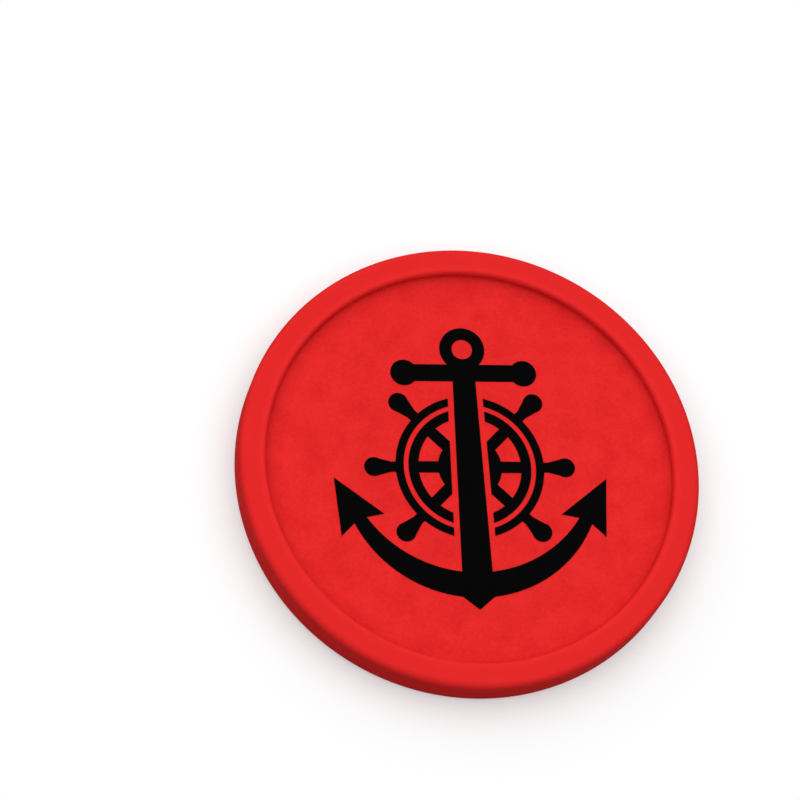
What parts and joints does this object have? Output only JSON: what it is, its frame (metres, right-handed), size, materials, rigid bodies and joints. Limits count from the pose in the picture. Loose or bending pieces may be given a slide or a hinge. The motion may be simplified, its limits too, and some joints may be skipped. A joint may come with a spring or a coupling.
{
  "type": "drink chip",
  "caption": "Round moulded plastic drink chip with a raised rim round a recessed field on either face and a printed nautical emblem; stacks rim on rim and is handed in for a drink.",
  "frame": {"origin": "centre of the chip's underside, in the plane of the lower rim", "axes": "+Z along the chip's axis, out of the printed face; +Y is the emblem's upright direction; +X is to its right"},
  "size_m": [0.0382, 0.0382, 0.0032],
  "materials": {
    "red_plastic": "moulded, fine satin grain",
    "black_ink": "printed, opaque satin black"
  },
  "bodies": {
    "root": {"chip_body": "red_plastic", "wheel_print": "black_ink", "anchor_print": "black_ink"}
  },
  "joints": []
}
